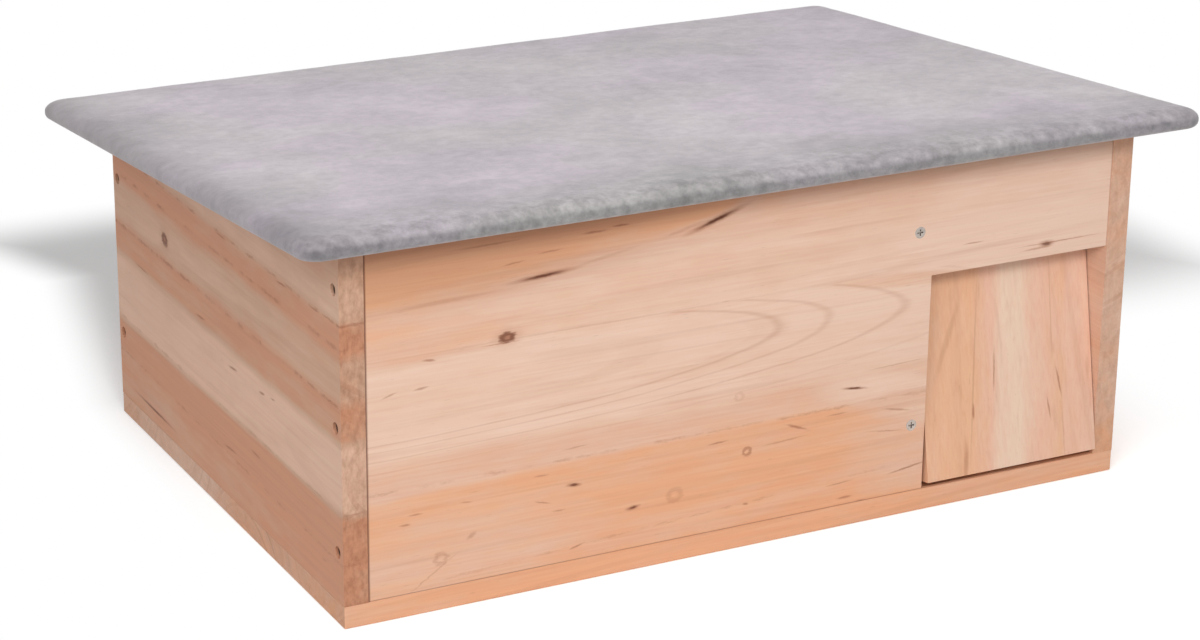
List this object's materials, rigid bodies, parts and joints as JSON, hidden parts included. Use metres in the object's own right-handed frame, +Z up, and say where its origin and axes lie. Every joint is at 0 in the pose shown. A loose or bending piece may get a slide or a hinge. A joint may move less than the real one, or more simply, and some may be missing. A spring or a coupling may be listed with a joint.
{
  "type": "hedgehog house",
  "caption": "Low wooden hedgehog house with a felted roof that lifts on hinges at the back, a swinging entrance flap and a partition inside.",
  "frame": {"origin": "middle of the whole object's footprint, on the underside of the floor panel", "axes": "+X to the right seen from the front, +Y to the back, +Z up"},
  "size_m": [0.56, 0.4248, 0.2295],
  "materials": {
    "pine": "planed, untreated",
    "roof_wood": "sawn, untreated",
    "felt": "matt mineral felt",
    "steel": "zinc plated",
    "dark_steel": "phosphated, dark",
    "hinge_steel": "zinc plated"
  },
  "bodies": {
    "house": {"floor_panel": "pine", "left_side_panel": "pine", "right_side_panel": "pine", "front_panel": "pine", "back_panel": "pine", "partition_wall": "pine", "partition_screws": "steel", "floor_screws": "dark_steel", "left_front_screws": "dark_steel", "left_rear_screws": "dark_steel", "right_front_screws": "dark_steel", "right_rear_screws": "dark_steel", "flap_pivot_left": "steel", "flap_pivot_right": "steel", "hinge_wall_leaf_left": "hinge_steel", "hinge_wall_leaf_right": "hinge_steel", "hinge_pin_left": "hinge_steel", "hinge_pin_right": "hinge_steel", "hinge_wall_screws": "steel"},
    "flap": {"entrance_flap": "pine"},
    "roof": {"roof_board": "roof_wood", "roof_felt": "felt", "felt_staples": "steel", "hinge_roof_leaf_left": "hinge_steel", "hinge_roof_leaf_right": "hinge_steel", "hinge_roof_screws": "steel"}
  },
  "joints": [
    {"name": "roof_hinge", "type": "hinge", "parent": "house", "child": "roof", "pos_m": [0, 0.16972, 0.18491], "axis": [-1, 0, 0], "range_deg": [0, 88]},
    {"name": "flap_swing", "type": "hinge", "parent": "house", "child": "flap", "pos_m": [0.176, -0.15338, 0.163], "axis": [1, 0, 0], "range_deg": [-5, 80]}
  ]
}
